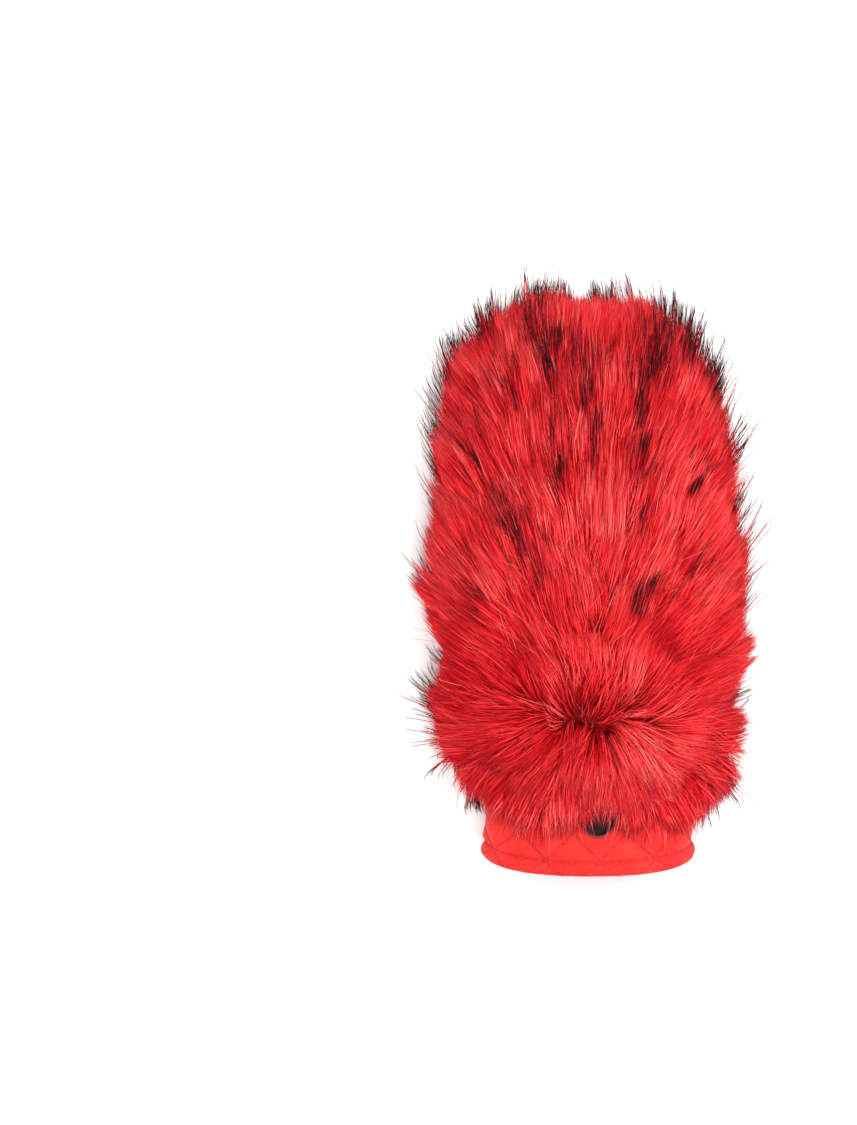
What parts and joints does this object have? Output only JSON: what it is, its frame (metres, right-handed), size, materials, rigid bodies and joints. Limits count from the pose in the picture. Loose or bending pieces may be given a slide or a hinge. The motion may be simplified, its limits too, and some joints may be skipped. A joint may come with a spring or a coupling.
{
  "type": "faux fur mitten",
  "caption": "Deep-pile faux fur mitten lying on its palm, with a hollow padded hand and thumb, a quilted cuff with a turned hem, and a round metal badge.",
  "frame": {"origin": "on the flat underside of the palm, under the middle of the hand", "axes": "+Y from the cuff to the fingertips, +Z out of the furry back of the hand, +X away from the thumb's side"},
  "size_m": [0.1726, 0.2906, 0.0655],
  "materials": {
    "faux_fur": "long red pile with dark-tipped guard hairs",
    "quilted_fabric": "matte coral-red woven cloth, quilted in diamonds",
    "palm_fabric": "matte red woven cloth over padding",
    "gunmetal": "dark gunmetal with a lighter worn rim"
  },
  "bodies": {
    "root": {"hand_shell": "palm_fabric", "thumb": "palm_fabric", "fur_pelt": "faux_fur", "cuff": "quilted_fabric", "badge": "gunmetal"}
  },
  "joints": []
}
